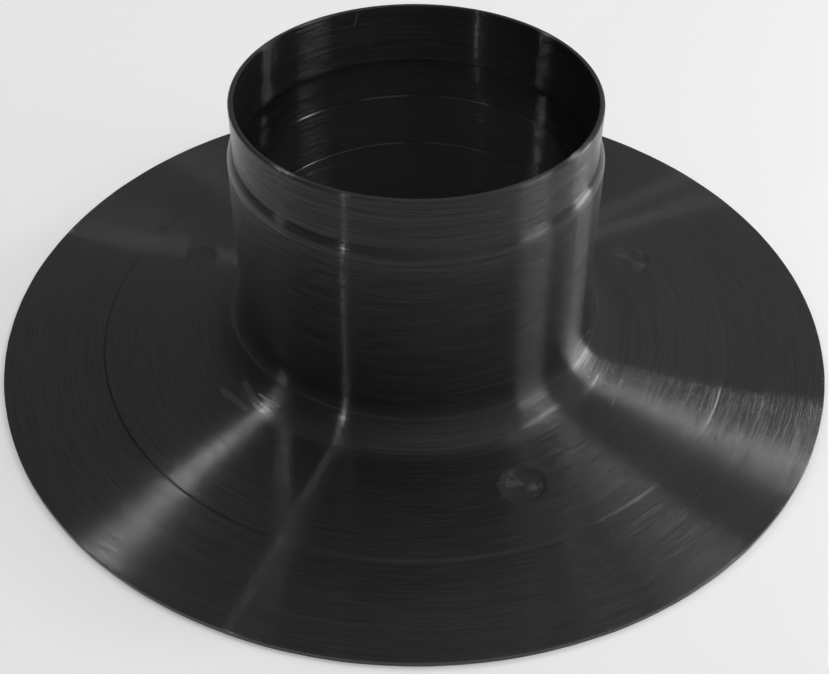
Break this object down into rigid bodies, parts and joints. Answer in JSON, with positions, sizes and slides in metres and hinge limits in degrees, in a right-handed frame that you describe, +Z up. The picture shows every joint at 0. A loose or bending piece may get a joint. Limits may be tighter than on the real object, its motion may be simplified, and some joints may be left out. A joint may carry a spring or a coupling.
{
  "type": "pipe flashing boot",
  "caption": "Black moulded plastic boot: a wide flat round flange with an upright stepped neck that a vent pipe passes through, sealing it where it leaves a roof.",
  "frame": {"origin": "centre of the flange's flat underside", "axes": "+Z up the neck, out of its rim"},
  "size_m": [0.334, 0.334, 0.1095],
  "materials": {
    "black_plastic": "satin black moulded plastic with fine turned rings all over, which stretch each highlight across them"
  },
  "bodies": {
    "root": {"flashing_boot": "black_plastic"}
  },
  "joints": []
}
